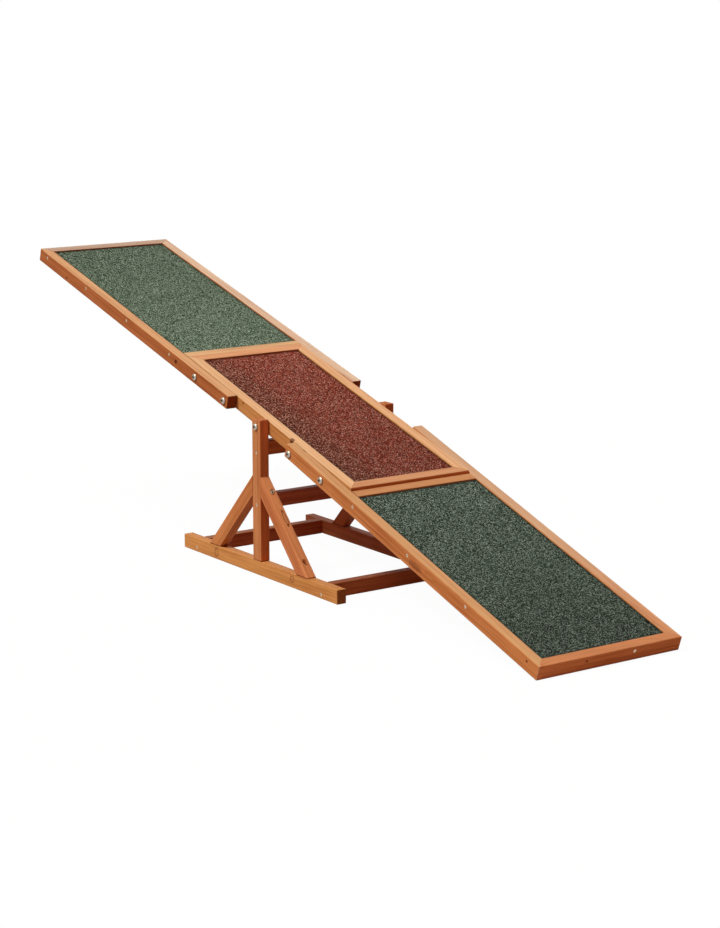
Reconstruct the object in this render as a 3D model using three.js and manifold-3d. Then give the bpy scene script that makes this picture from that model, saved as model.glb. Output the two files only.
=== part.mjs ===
// Agility seesaw for small pets, in stained softwood.
//
// A plank deck of three framed sections rocks on two bolts between the posts of a braced stand.
// Millimetres. +X runs down the deck to the end that is on the ground, +Y across it, +Z up.
// The origin is on the ground, under the pivot.

import * as THREE from 'three';
import { mergeVertices } from 'three/addons/utils/BufferGeometryUtils.js';
import Module from 'manifold-3d';

const wasm = await Module();
wasm.setup();

// Deck, sizes along it counted from the pivot
const deckWidth = 300;
const deckHalfLength = 857;
const deckRailThickness = 20.5;
const deckRailHeight = 26;
const armTipDistance = 101.5;
const middleHalfLength = 282;
const highSectionGap = 0.6;
const lowSectionGap = 3;
const crossRailThickness = 19.5;
const middleSideGap = 0.6;

// Each outer section falls away from the middle one by this angle, in degrees
const highDroopAngle = 0.75;
const lowDroopAngle = 2;

// Panels: a board screwed between the rails, and the mineral grit sheet on it
const boardThickness = 9;
const sheetThickness = 2;
const sheetRecess = 2.5;
const panelPlay = 0.8;

// Bolts, one size throughout, and the threaded inserts that they turn into
const boltDiameter = 6;
const boltLength = 35;
const boltHeadDiameter = 13;
const boltHeadHeight = 4.4;
const headRimHeight = 0.9;
const recessSpan = 6.4;
const recessWidth = 1.3;
const recessDepth = 2.2;
const armTipToBolt = 12.5;
const armBoltSpacing = 105.5;
const insertDiameter = 9.5;
const insertLength = 16;
const insertHoleDepth = 17.5;
const boltHoleDiameter = 6.8;
const insertClearance = 0.3;

// Pivot
const pivotHeight = 277;
const washerDiameter = 16;
const washerThickness = 0.8;

// Stand, all of one bar. The insets count from the ends of the base rails to the middle of
// the piece, and the brace's is taken where it meets the rail.
const barThickness = 19.5;
const barWidth = 26.5;
const baseLength = 519;
const baseCrossInset = 50.5;
const braceFootInset = 111;
const braceAngle = 46;
const postRise = 13.5;
const deckSwingGap = 13.5;
const postCrossSpacing = 99.5;

// Bores in the upper faces of the braces for the heads of their screws, placed along the
// brace from its foot and its head, and off the middle towards the deck
const boreDiameter = 8.6;
const boreDepth = 8;
const footToBore = 23;
const headToBore = 21.5;
const boreOffset = 2;

// Finish of the bars, and clearances
const edgeEase = 1.5;
const endEase = 1;
const seatGap = 0.3;
const overrun = 2;
const easeSteps = 3;
const endEaseSteps = 2;
const roundSteps = 20;

const radians = THREE.MathUtils.degToRad;

// Finishes
const deckWood = finish(0xcc8552, 0.55, 0);
const standWood = finish(0xb86b3d, 0.6, 0);
const boardWood = finish(0xba8a5c, 0.75, 0);
const greenGrit = finish(0x576152, 0.95, 0);
const redGrit = finish(0x7a4536, 0.95, 0);
const boltSteel = finish(0xc9c9c6, 0.25, 1);
const insertZinc = finish(0x9e9170, 0.4, 1);

function finish(color, roughness, metalness) {
  return new THREE.MeshStandardMaterial({ color, roughness, metalness });
}

// Solids: three.js makes each closed shape, and these join and cut them

function solidOf(geometry) {
  const bare = geometry.clone();
  bare.deleteAttribute('normal');
  bare.deleteAttribute('uv');
  const merged = mergeVertices(bare);
  const mesh = new wasm.Mesh({
    numProp: 3,
    vertProperties: new Float32Array(merged.attributes.position.array),
    triVerts: new Uint32Array(merged.index.array),
  });
  return new wasm.Manifold(mesh);
}

function geometryOf(solid) {
  const mesh = solid.getMesh();
  const geometry = new THREE.BufferGeometry();
  geometry.setAttribute('position', new THREE.BufferAttribute(mesh.vertProperties, mesh.numProp));
  geometry.setIndex(new THREE.BufferAttribute(mesh.triVerts, 1));
  geometry.computeVertexNormals();
  return geometry;
}

function cut(geometry, cutters) {
  const solids = cutters.map(solidOf);
  return geometryOf(solids.reduce((left, cutter) => left.subtract(cutter), solidOf(geometry)));
}

// Everything on the side of a plane that its normal points to, as a block of the given reach
function beyond(point, normal, reach) {
  const block = new THREE.BoxGeometry(reach, reach, reach);
  block.translate(0, 0, reach / 2);
  const up = new THREE.Vector3(0, 0, 1);
  block.applyQuaternion(new THREE.Quaternion().setFromUnitVectors(up, normal.clone().normalize()));
  block.translate(point.x, point.y, point.z);
  return block;
}

// A round hole along Y
function holeAlongY(diameter, length, x, y, z) {
  const hole = new THREE.CylinderGeometry(diameter / 2, diameter / 2, length, roundSteps);
  hole.translate(x, y, z);
  return hole;
}

// A bore for a screw's head, sunk from a point on a slanting face in the given direction. It
// starts one diameter outside the point, so it clears the whole face.
function screwBore(point, direction) {
  const bore = holeAlongY(boreDiameter, boreDepth + boreDiameter, 0, (boreDepth - boreDiameter) / 2, 0);
  const alongY = new THREE.Vector3(0, 1, 0);
  bore.applyQuaternion(new THREE.Quaternion().setFromUnitVectors(alongY, direction));
  bore.translate(point.x, point.y, point.z);
  return bore;
}

// Section of a bar: a rectangle with its four long edges eased
function easedSection(width, height, ease) {
  const shape = new THREE.Shape();
  const right = width / 2 - ease;
  const top = height / 2 - ease;
  shape.absarc(right, top, ease, 0, Math.PI / 2);
  shape.absarc(-right, top, ease, Math.PI / 2, Math.PI);
  shape.absarc(-right, -top, ease, Math.PI, -Math.PI / 2);
  shape.absarc(right, -top, ease, -Math.PI / 2, 0);
  return shape;
}

// A bar along X, centred, with its edges and its ends eased
function easedBar(length, thickness, height) {
  const bar = new THREE.ExtrudeGeometry(easedSection(thickness, height, edgeEase), {
    depth: length - 2 * endEase,
    steps: 1,
    curveSegments: easeSteps,
    bevelEnabled: true,
    bevelThickness: endEase,
    bevelSize: endEase,
    bevelOffset: -endEase,
    bevelSegments: endEaseSteps,
  });
  bar.translate(0, 0, endEase - length / 2);
  const alongX = new THREE.Matrix4().makeBasis(
    new THREE.Vector3(0, 1, 0),
    new THREE.Vector3(0, 0, 1),
    new THREE.Vector3(1, 0, 0),
  );
  return bar.applyMatrix4(alongX);
}

function piece(name, geometry, material, x = 0, y = 0, z = 0) {
  const mesh = new THREE.Mesh(geometry, material);
  mesh.name = name;
  mesh.position.set(x, y, z);
  return mesh;
}

// Fastenings

// A bolt along Y with its domed head at -Y, the underside of the head at the origin
function boltGeometry() {
  const headRadius = boltHeadDiameter / 2;
  const domeRise = boltHeadHeight - headRimHeight;
  const dome = new THREE.EllipseCurve(0, headRimHeight, headRadius, domeRise, 0, Math.PI / 2);
  const profile = [
    new THREE.Vector2(0, -boltLength),
    new THREE.Vector2(boltDiameter / 2, -boltLength),
    new THREE.Vector2(boltDiameter / 2, 0),
    new THREE.Vector2(headRadius, 0),
    ...dome.getPoints(roundSteps / 4),
  ];
  profile[profile.length - 1].x = 0;
  const bolt = new THREE.LatheGeometry(profile, roundSteps);
  const slot = new THREE.BoxGeometry(recessSpan, 2 * recessDepth, recessWidth);
  slot.translate(0, boltHeadHeight, 0);
  const crossSlot = slot.clone().rotateY(Math.PI / 2);
  return cut(bolt, [slot, crossSlot]).rotateX(Math.PI);
}

// A ring along Y with its outer face at the origin
function ringGeometry(outerDiameter, innerDiameter, length) {
  const outer = outerDiameter / 2;
  const inner = innerDiameter / 2;
  const profile = [
    new THREE.Vector2(inner, 0),
    new THREE.Vector2(outer, 0),
    new THREE.Vector2(outer, length),
    new THREE.Vector2(inner, length),
    new THREE.Vector2(inner, 0),
  ];
  return new THREE.LatheGeometry(profile, roundSteps);
}

const sides = [
  { side: 'front', sign: -1 },
  { side: 'back', sign: 1 },
];

// Turns a fastening that is drawn for the front so that it enters from the given side
function faceSide(mesh, sign) {
  mesh.rotation.z = sign < 0 ? 0 : Math.PI;
  return mesh;
}

// Places that several pieces share
const middleHalfWidth = deckWidth / 2 - deckRailThickness - middleSideGap;
const innerBoltDistance = armTipDistance + armTipToBolt;
const outerBoltDistance = innerBoltDistance + armBoltSpacing;
const jointDistance = (innerBoltDistance + outerBoltDistance) / 2;
const pivotGap = washerThickness + 2 * seatGap;
const postInnerFace = middleHalfWidth + pivotGap;
const postCentre = postInnerFace + barThickness / 2;
const postHeight = pivotHeight + postRise;
const topCrossHeight = pivotHeight - deckRailHeight / 2 - deckSwingGap - barWidth / 2;
const middleCrossHeight = topCrossHeight - postCrossSpacing;
const baseCrossDistance = baseLength / 2 - baseCrossInset;
const braceFootDistance = baseLength / 2 - braceFootInset;
const standReach = baseLength + postHeight;

// Deck

// Mitres the end of a side rail: the plane runs from its outer corner to its inner one
function mitreOfRail(length, thickness, outerSign, endSign) {
  const corner = new THREE.Vector3(endSign * length / 2, outerSign * thickness / 2, 0);
  const normal = new THREE.Vector3(endSign, -outerSign, 0);
  const back = normal.clone().normalize().multiplyScalar(-seatGap / 2);
  return beyond(corner.add(back), normal, length);
}

// A rail across the deck with both ends mitred, its outer face towards +X
function mitredEndRail(width) {
  const rail = easedBar(width, deckRailThickness, deckRailHeight);
  const cutters = [1, -1].map((endSign) => mitreOfRail(width, deckRailThickness, -1, endSign));
  return cut(rail, cutters).rotateZ(Math.PI / 2);
}

function panelOf(name, length, width, sheetFinish) {
  const sheetTop = deckRailHeight / 2 - sheetRecess;
  const boardTop = sheetTop - sheetThickness - seatGap;
  const panelLength = length - 2 * panelPlay;
  const panelWidth = width - 2 * panelPlay;
  const sheet = new THREE.BoxGeometry(panelLength, panelWidth, sheetThickness);
  const board = new THREE.BoxGeometry(panelLength, panelWidth, boardThickness);
  return [
    piece(`${name}_grit_sheet`, sheet, sheetFinish, 0, 0, sheetTop - sheetThickness / 2),
    piece(`${name}_board`, board, boardWood, 0, 0, boardTop - boardThickness / 2),
  ];
}

// An outer section, drawn with its arms towards the pivot at -X. Its own origin is the middle
// of the bolted joint, droop is the angle by which it falls away there, and gap is how far its
// cross rail stands off the middle section.
function outerSection(name, droop, gap, sideNames) {
  const section = new THREE.Group();
  const tipX = armTipDistance - jointDistance;
  const endX = deckHalfLength - jointDistance;
  const railLength = endX - tipX;
  const railX = (endX + tipX) / 2;
  const railY = (deckWidth - deckRailThickness) / 2;
  const innerWidth = deckWidth - 2 * deckRailThickness;

  // The bolts go straight into the middle rails, so the arms are drilled in line with them
  const boltPlaces = [-armBoltSpacing / 2, armBoltSpacing / 2].map((along) => ({
    x: along * Math.cos(droop),
    z: along * Math.sin(droop),
  }));
  for (const { side, sign } of sides) {
    const rail = easedBar(railLength, deckRailThickness, deckRailHeight);
    const holes = boltPlaces.map(({ x, z }) =>
      holeAlongY(boltHoleDiameter, deckRailThickness + overrun, x - railX, 0, z));
    const mitre = mitreOfRail(railLength, deckRailThickness, sign, 1);
    const drilled = cut(rail, [mitre, ...holes]);
    section.add(piece(`${name}_section_rail_${sideNames[side]}`, drilled, deckWood, railX, sign * railY));
  }

  const endRailX = endX - deckRailThickness / 2;
  section.add(piece(`${name}_section_end_rail`, mitredEndRail(deckWidth), deckWood, endRailX));

  const crossX = middleHalfLength + gap - jointDistance + crossRailThickness / 2;
  const cross = easedBar(innerWidth - 2 * seatGap, crossRailThickness, deckRailHeight);
  section.add(piece(`${name}_section_cross_rail`, cross.rotateZ(Math.PI / 2), deckWood, crossX));

  const panelStart = crossX + crossRailThickness / 2;
  const panelEnd = endX - deckRailThickness;
  const panel = new THREE.Group();
  panel.add(...panelOf(`${name}_section`, panelEnd - panelStart, innerWidth, greenGrit));
  panel.position.x = (panelStart + panelEnd) / 2;
  section.add(panel);

  section.position.x = jointDistance;
  section.rotation.y = droop;
  return section;
}

function middleSection() {
  const section = new THREE.Group();
  const length = 2 * middleHalfLength;
  const railY = middleHalfWidth - deckRailThickness / 2;
  const innerWidth = 2 * (middleHalfWidth - deckRailThickness);
  const holePlaces = [-outerBoltDistance, -innerBoltDistance, 0, innerBoltDistance, outerBoltDistance];
  const holeDiameter = insertDiameter + 2 * insertClearance;
  for (const { side, sign } of sides) {
    const rail = easedBar(length, deckRailThickness, deckRailHeight);
    const mitres = [1, -1].map((endSign) => mitreOfRail(length, deckRailThickness, sign, endSign));
    const outerFace = sign * deckRailThickness / 2;
    const holeLength = insertHoleDepth + overrun;
    const holeY = outerFace - sign * (insertHoleDepth - overrun) / 2;
    const holes = holePlaces.map((x) => holeAlongY(holeDiameter, holeLength, x, holeY, 0));
    section.add(piece(`middle_rail_${side}`, cut(rail, [...mitres, ...holes]), deckWood, 0, sign * railY));
  }
  const endX = middleHalfLength - deckRailThickness / 2;
  for (const [end, sign] of [['high', -1], ['low', 1]]) {
    const rail = piece(`middle_end_rail_${end}`, mitredEndRail(2 * middleHalfWidth), deckWood, sign * endX);
    rail.rotation.z = sign < 0 ? Math.PI : 0;
    section.add(rail);
  }
  section.add(...panelOf('middle', length - 2 * deckRailThickness, innerWidth, redGrit));
  return section;
}

// Two bolts a side at each joint, through the arm and into an insert in the middle rail
function armFastenings() {
  const group = new THREE.Group();
  for (const [end, endSign] of [['high', -1], ['low', 1]]) {
    for (const { side, sign } of sides) {
      for (const [place, distance] of [['inner', innerBoltDistance], ['outer', outerBoltDistance]]) {
        const x = endSign * distance;
        const tag = `${end}_${side}_${place}`;
        const headY = sign * (deckWidth / 2 + seatGap);
        const insertY = sign * (middleHalfWidth - seatGap);
        const insert = ringGeometry(insertDiameter, boltHoleDiameter, insertLength);
        group.add(faceSide(piece(`arm_bolt_${tag}`, boltGeometry(), boltSteel, x, headY), sign));
        group.add(faceSide(piece(`arm_insert_${tag}`, insert, insertZinc, x, insertY), sign));
      }
    }
  }
  return group;
}

// The two bolts that the deck rocks on turn in the posts and are fast in the middle rails
function pivotFastenings() {
  const group = new THREE.Group();
  for (const { side, sign } of sides) {
    const headY = sign * (postInnerFace + barThickness + seatGap);
    const washerY = sign * (postInnerFace - seatGap);
    const insertY = sign * (middleHalfWidth - seatGap);
    const washer = ringGeometry(washerDiameter, boltHoleDiameter, washerThickness);
    const insert = ringGeometry(insertDiameter, boltHoleDiameter, insertLength);
    group.add(faceSide(piece(`pivot_bolt_${side}`, boltGeometry(), boltSteel, 0, headY), sign));
    group.add(faceSide(piece(`pivot_washer_${side}`, washer, boltSteel, 0, washerY), sign));
    group.add(faceSide(piece(`pivot_insert_${side}`, insert, insertZinc, 0, insertY), sign));
  }
  return group;
}

// Tilt at which the lower end's bottom edge is on the ground. That edge is eased, so the centre
// of its rounding lies one ease above the ground.
function tiltToGround(droop) {
  const along = deckHalfLength - jointDistance - edgeEase;
  const down = deckRailHeight / 2 - edgeEase;
  const x = jointDistance + along * Math.cos(droop) - down * Math.sin(droop);
  const z = along * Math.sin(droop) + down * Math.cos(droop);
  const reach = Math.hypot(x, z);
  return Math.asin((pivotHeight - edgeEase) / reach) - Math.atan2(z, x);
}

function deck() {
  const group = new THREE.Group();
  group.add(middleSection(), armFastenings(), pivotFastenings());
  const lowDroop = radians(lowDroopAngle);
  const highDroop = radians(highDroopAngle);
  group.add(outerSection('low', lowDroop, lowSectionGap, { front: 'front', back: 'back' }));
  const high = new THREE.Group();
  high.add(outerSection('high', highDroop, highSectionGap, { front: 'back', back: 'front' }));
  high.rotation.z = Math.PI;
  group.add(high);
  group.position.z = pivotHeight;
  group.rotation.y = tiltToGround(lowDroop);
  return group;
}

// Stand

function standBar(length) {
  return easedBar(length, barThickness, barWidth);
}

// A brace in its side frame: its foot stands on the base rail and its head bears on the post.
// One screw goes straight down into the rail and one level into the post.
function braceGeometry(endSign, sideSign) {
  const angle = radians(braceAngle);
  const along = new THREE.Vector3(-endSign * Math.cos(angle), 0, Math.sin(angle));
  const outward = new THREE.Vector3(endSign * Math.sin(angle), 0, Math.cos(angle));
  const foot = new THREE.Vector3(endSign * braceFootDistance, 0, barWidth);
  const postFace = barWidth / 2;
  const span = (braceFootDistance - postFace) / Math.cos(angle);
  const bar = standBar(span + 2 * barWidth);
  bar.rotateY(endSign < 0 ? -angle : angle);
  const middle = foot.clone().addScaledVector(along, span / 2);
  bar.translate(middle.x, middle.y, middle.z);
  const footSeat = new THREE.Vector3(0, 0, barWidth + seatGap);
  const headSeat = new THREE.Vector3(endSign * (postFace + seatGap), 0, 0);
  const towardsPost = new THREE.Vector3(-endSign, 0, 0);
  const down = new THREE.Vector3(0, 0, -1);
  const upperEdge = foot.clone().addScaledVector(outward, barWidth / 2);
  upperEdge.y = -sideSign * boreOffset;
  const footBore = upperEdge.clone().addScaledVector(along, footToBore);
  const headBore = upperEdge.clone().addScaledVector(along, span - headToBore);
  return cut(bar, [
    beyond(footSeat, down, standReach),
    beyond(headSeat, towardsPost, standReach),
    screwBore(footBore, down),
    screwBore(headBore, towardsPost),
  ]);
}

function sideFrame(side, sign) {
  const frame = new THREE.Group();
  frame.position.y = sign * postCentre;
  frame.add(piece(`base_rail_${side}`, standBar(baseLength), standWood, 0, 0, barWidth / 2));
  const postLength = postHeight - barWidth;
  const post = easedBar(postLength, barThickness, barWidth).rotateY(-Math.PI / 2);
  const postMiddle = barWidth + postLength / 2;
  const pivotHole = holeAlongY(boltHoleDiameter, barThickness + overrun, 0, 0, pivotHeight - postMiddle);
  frame.add(piece(`post_${side}`, cut(post, [pivotHole]), standWood, 0, 0, postMiddle));
  frame.add(piece(`brace_${side}_high`, braceGeometry(-1, sign), standWood));
  frame.add(piece(`brace_${side}_low`, braceGeometry(1, sign), standWood));
  return frame;
}

function stand() {
  const group = new THREE.Group();
  for (const { side, sign } of sides) {
    group.add(sideFrame(side, sign));
  }
  const crossLength = 2 * (postInnerFace - seatGap);
  const crossPlaces = [
    ['base_cross_rail_high', -baseCrossDistance, barWidth / 2],
    ['base_cross_rail_low', baseCrossDistance, barWidth / 2],
    ['post_cross_rail_top', 0, topCrossHeight],
    ['post_cross_rail_middle', 0, middleCrossHeight],
  ];
  for (const [name, x, z] of crossPlaces) {
    group.add(piece(name, standBar(crossLength).rotateZ(Math.PI / 2), standWood, x, 0, z));
  }
  return group;
}

const seesaw = new THREE.Group();
seesaw.add(stand(), deck());

export default seesaw;
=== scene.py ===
"""Looks of the agility seesaw: its bars, grit panels, bolts and screws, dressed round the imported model.

Lengths are in millimetres up to the point where a mesh or an object is made. Each bar is drawn
along its own X, with its thickness along Y and its height along Z, so the grain runs along X.
"""

import math
import random

import bmesh
import bpy
from mathutils import Matrix, Vector


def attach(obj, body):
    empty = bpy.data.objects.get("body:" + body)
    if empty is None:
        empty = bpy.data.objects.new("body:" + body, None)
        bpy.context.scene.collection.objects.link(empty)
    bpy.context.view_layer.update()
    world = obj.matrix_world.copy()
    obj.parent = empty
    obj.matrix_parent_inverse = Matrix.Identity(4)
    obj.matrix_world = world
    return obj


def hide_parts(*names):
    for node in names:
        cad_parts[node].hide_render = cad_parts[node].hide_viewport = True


MM = 0.001

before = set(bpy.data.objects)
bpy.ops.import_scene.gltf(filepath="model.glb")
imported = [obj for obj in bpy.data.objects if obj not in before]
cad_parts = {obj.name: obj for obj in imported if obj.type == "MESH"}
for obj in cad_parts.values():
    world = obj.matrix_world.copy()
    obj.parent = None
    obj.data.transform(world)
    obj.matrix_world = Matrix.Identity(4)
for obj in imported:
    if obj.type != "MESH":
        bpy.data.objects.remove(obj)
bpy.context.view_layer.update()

# Deck. Places along it are counted from the pivot, and a bar's section is its thickness and height
DECK_WIDTH = 300
DECK_HALF_LENGTH = 857
DECK_RAIL = (20.5, 26)
CROSS_RAIL_THICKNESS = 19.5
ARM_TIP = 101.5
MIDDLE_HALF_LENGTH = 282
SECTION_GAPS = {"high": 0.6, "low": 3}
MIDDLE_SIDE_GAP = 0.6
MIDDLE_HALF_WIDTH = DECK_WIDTH / 2 - DECK_RAIL[0] - MIDDLE_SIDE_GAP
HIGH_DROOP = math.radians(0.75)
LOW_DROOP = math.radians(2)
ARM_BOLTS = (114, 219.5)
JOINT = sum(ARM_BOLTS) / 2
PIVOT_HEIGHT = 277
PIVOT_HOLE_RADIUS = 3.4

# Edges and seams of all bars
EDGE_EASE = 1.5
END_EASE = 1.0
TIGHT_EASE = 0.6
MITRE_EASE = 0.25
MITRE_SEAM = 0.05
SEAT_GAP = 0.3

# Panels
BOARD_THICKNESS = 9
BOARD_EASE = 0.5
SHEET_THICKNESS = 2
SHEET_RECESS = 2.5
PANEL_PLAY = 0.8
GRIT_PITCH = 3.0
GRIT_DEPTH = 0.2
GRIT_RISE = 0.12
GRIT_JITTER = 0.96

# Stand
BAR = (19.5, 26.5)
BASE_LENGTH = 519
BASE_CROSS = 209
BRACE_FOOT = 148.5
BRACE_ANGLE = math.radians(46)
POST_TOP = 290.5
POST_CROSS_HEIGHTS = {"top": 237.25, "middle": 137.75}
POST_INNER_FACE = MIDDLE_HALF_WIDTH + 1.4
BORE_RADIUS = 5.1
BORE_DEPTH = 8
FOOT_TO_BORE = 23
HEAD_TO_BORE = 21.5
BORE_OFFSET = 2

# Screws. A rise is counted from the middle of the bar, and an open hole is named by section, side and number
SCREW_RADIUS = 3.0
BRACE_SCREW_RADIUS = 4.8
PIT_RADIUS = 3.15
PIT_BELOW_HEAD = 0.8
FLUSH = 0.25
PILOT_RADIUS = 2.3
PILOT_DEPTH = 9
LEVEL_SCREW_SINK = 1.6
UPRIGHT_SCREW_SINK = 4.2
PANEL_SCREWS = tuple(320.2 + 168.5 * i for i in range(4))
PANEL_SCREW_RISE = 4.0
END_SCREW_SPREAD = 50.6
CROSS_RAIL_HOLE_RISE = 0.8
MIDDLE_HOLE = 81
MIDDLE_HOLE_RISE = 7.4
BASE_SCREWS = ((-214.3, 8.5), (208.6, 7.4))
POST_SCREW_HEIGHTS = (228.8, 131.4)
OPEN_HOLES = {("low", "front", 3), ("low", "end", 0)}

# Each side and the sign of its Y. The upper section is turned half round, so its own front is the deck's back
SIDES = (("front", -1), ("back", 1))
SECTION_SIDES = {"low": SIDES, "high": (("back", -1), ("front", 1))}


def deck_tilt():
    """The tilt at which the eased bottom edge of the low end is on the ground."""
    along = DECK_HALF_LENGTH - JOINT - EDGE_EASE
    down = DECK_RAIL[1] / 2 - EDGE_EASE
    x = JOINT + along * math.cos(LOW_DROOP) - down * math.sin(LOW_DROOP)
    z = along * math.sin(LOW_DROOP) + down * math.cos(LOW_DROOP)
    return math.asin((PIVOT_HEIGHT - EDGE_EASE) / math.hypot(x, z)) - math.atan2(z, x)


def turn(axis, angle):
    return Matrix.Rotation(angle, 4, axis)


def shift(x, y, z):
    return Matrix.Translation((x, y, z))


def aim(direction):
    """The turn that brings Z round to the direction."""
    return Vector(direction).to_track_quat("Z", "Y").to_matrix().to_4x4()


ROW = Matrix.Identity(4)
DECK = shift(0, 0, PIVOT_HEIGHT) @ turn("Y", deck_tilt())
LOW = DECK @ shift(JOINT, 0, 0) @ turn("Y", LOW_DROOP)
HIGH = DECK @ turn("Z", math.pi) @ shift(JOINT, 0, 0) @ turn("Y", HIGH_DROOP)
ACROSS = turn("Z", math.pi / 2)
UPRIGHT = turn("Y", -math.pi / 2) @ turn("X", math.pi)


# Meshes

def in_metres(matrix):
    scaled = matrix.copy()
    scaled.translation = scaled.translation * MM
    return scaled


def mesh_from(bm, name):
    """Turns a bmesh that is drawn in millimetres into a mesh in metres, smooth between its sharp edges."""
    sharp_angle = math.radians(32)
    bmesh.ops.recalc_face_normals(bm, faces=bm.faces)
    bmesh.ops.scale(bm, vec=(MM, MM, MM), verts=bm.verts)
    for face in bm.faces:
        face.smooth = True
    for edge in bm.edges:
        edge.smooth = edge.is_manifold and edge.calc_face_angle(0) < sharp_angle
    mesh = bpy.data.meshes.new(name)
    bm.to_mesh(mesh)
    bm.free()
    return mesh


def add_object(name, data):
    added = bpy.data.objects.new(name, data)
    bpy.context.scene.collection.objects.link(added)
    return added


def add_piece(name, mesh, matrix, body, material, nodes=()):
    """Places a mesh as a piece of a CAD body, in the place of the CAD nodes that it stands for."""
    piece = add_object(name, mesh)
    piece.matrix_world = in_metres(matrix)
    mesh.materials.clear()
    mesh.materials.append(material)
    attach(piece, body)
    if nodes:
        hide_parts(*nodes)
    return piece


def carve(mesh, cutter):
    """Takes the cutter, a bmesh in millimetres, out of the mesh."""
    tool_mesh = mesh_from(cutter, "cutter")
    tool = add_object("cutter", tool_mesh)
    blank = add_object("blank", mesh)
    modifier = blank.modifiers.new("carve", "BOOLEAN")
    modifier.operation = "DIFFERENCE"
    modifier.solver = "EXACT"
    modifier.use_self = True
    modifier.object = tool
    bpy.context.view_layer.update()
    carved = bpy.data.meshes.new_from_object(blank.evaluated_get(bpy.context.evaluated_depsgraph_get()))
    for helper in (tool, blank):
        bpy.data.objects.remove(helper)
    bpy.data.meshes.remove(tool_mesh)
    carved.name = mesh.name
    return carved


def bar_mesh(name, size, cuts=(), pits=(), ease=EDGE_EASE):
    """A bar with eased edges, cut by planes (point, normal) and drilled at pits (matrix, radius, depth).

    A pit's matrix stands on the surface with its Z pointing out of the wood."""
    thickness = size[1]
    bm = bmesh.new()
    bmesh.ops.create_cube(bm, size=1)
    bmesh.ops.scale(bm, vec=size, verts=bm.verts)
    long_edges = [e for e in bm.edges if abs(e.verts[0].co.x - e.verts[1].co.x) > thickness]
    bmesh.ops.bevel(bm, geom=long_edges, offset=ease, segments=5, profile=0.5, affect="EDGES")
    end_edges = [e for e in bm.edges if any(abs(f.normal.x) > 0.9 for f in e.link_faces)]
    bmesh.ops.bevel(bm, geom=end_edges, offset=END_EASE, segments=3, profile=0.5, affect="EDGES")
    for point, normal in cuts:
        everything = list(bm.verts) + list(bm.edges) + list(bm.faces)
        cut = bmesh.ops.bisect_plane(bm, geom=everything, plane_co=point, plane_no=normal, clear_outer=True)
        rim = [e for e in cut["geom_cut"] if isinstance(e, bmesh.types.BMEdge)]
        bmesh.ops.edgenet_fill(bm, edges=rim)
        bmesh.ops.bevel(bm, geom=rim, offset=MITRE_EASE, segments=1, profile=0.5, affect="EDGES")
    mesh = mesh_from(bm, name)
    if pits:
        drill = bmesh.new()
        for matrix, radius, depth in pits:
            bmesh.ops.create_cone(drill, cap_ends=True, segments=28, radius1=radius, radius2=radius,
                                  depth=2 * depth, matrix=matrix)
        mesh = carve(mesh, drill)
    return mesh


# Node helpers

class Nodes:
    """Writes a node tree in short calls that take sockets or plain values. It is called n below."""

    def __init__(self, tree):
        self.tree = tree

    def feed(self, socket, value):
        if isinstance(value, bpy.types.NodeSocket):
            self.tree.links.new(value, socket)
        elif value is not None:
            socket.default_value = value

    def add(self, kind, *values, **settings):
        node = self.tree.nodes.new("ShaderNode" + kind)
        for key, value in settings.items():
            setattr(node, key, value)
        for socket, value in zip(node.inputs, values):
            self.feed(socket, value)
        return node

    def math(self, operation, *values, clamp=False):
        return self.add("Math", *values, operation=operation, use_clamp=clamp).outputs[0]

    def vector(self, operation, *values):
        node = self.add("VectorMath", *values, operation=operation)
        return node.outputs["Value" if operation in ("LENGTH", "DOT_PRODUCT") else "Vector"]

    def scaled(self, vector, factors):
        return self.vector("MULTIPLY", vector, factors)

    def noise(self, vector, detail=2.0, roughness=0.5):
        node = self.add("TexNoise")
        self.feed(node.inputs["Vector"], vector)
        self.feed(node.inputs["Scale"], 1.0)
        self.feed(node.inputs["Detail"], detail)
        self.feed(node.inputs["Roughness"], roughness)
        return node

    def ramp(self, value, low, high, out_low=0.0, out_high=1.0):
        """A smooth step from low to high."""
        node = self.add("MapRange", value, low, high, out_low, out_high, interpolation_type="SMOOTHSTEP")
        return node.outputs[0]

    def mix(self, factor, first, second):
        node = self.add("Mix", data_type="RGBA", blend_type="MIX")
        self.feed(node.inputs[0], factor)
        self.feed(node.inputs[6], first)
        self.feed(node.inputs[7], second)
        return node.outputs[2]

    def place(self):
        """Where a point lies on its piece, in millimetres, and the way that its surface faces."""
        coords = self.add("TexCoord")
        return self.scaled(coords.outputs["Object"], (1 / MM,) * 3), coords.outputs["Normal"]


ORIGIN = (0.0, 0.0, 0.0)
NOWHERE = (100000.0, 0.0, 0.0)
BLACK = (0, 0, 0, 1)
GREY = (0.5, 0.5, 0.5, 1)
WHITE = (1, 1, 1, 1)
SURFACE_OUTPUTS = {"Color": "Color", "Height": "Float", "Roughness": "Float"}


def group(name, inputs, outputs=SURFACE_OUTPUTS):
    """A new node group; returns its Nodes, its input sockets by name and its output node's sockets.

    An input's kind follows from its default: a number, a vector of three or a colour of four."""
    tree = bpy.data.node_groups.new(name, "ShaderNodeTree")
    for label, default in inputs.items():
        kind = {3: "Vector", 4: "Color"}[len(default)] if isinstance(default, tuple) else "Float"
        socket = tree.interface.new_socket(name=label, in_out="INPUT", socket_type="NodeSocket" + kind)
        socket.default_value = default
    for label, kind in outputs.items():
        tree.interface.new_socket(name=label, in_out="OUTPUT", socket_type="NodeSocket" + kind)
    source = tree.nodes.new("NodeGroupInput")
    target = tree.nodes.new("NodeGroupOutput")
    return Nodes(tree), source.outputs, target.inputs


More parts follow.
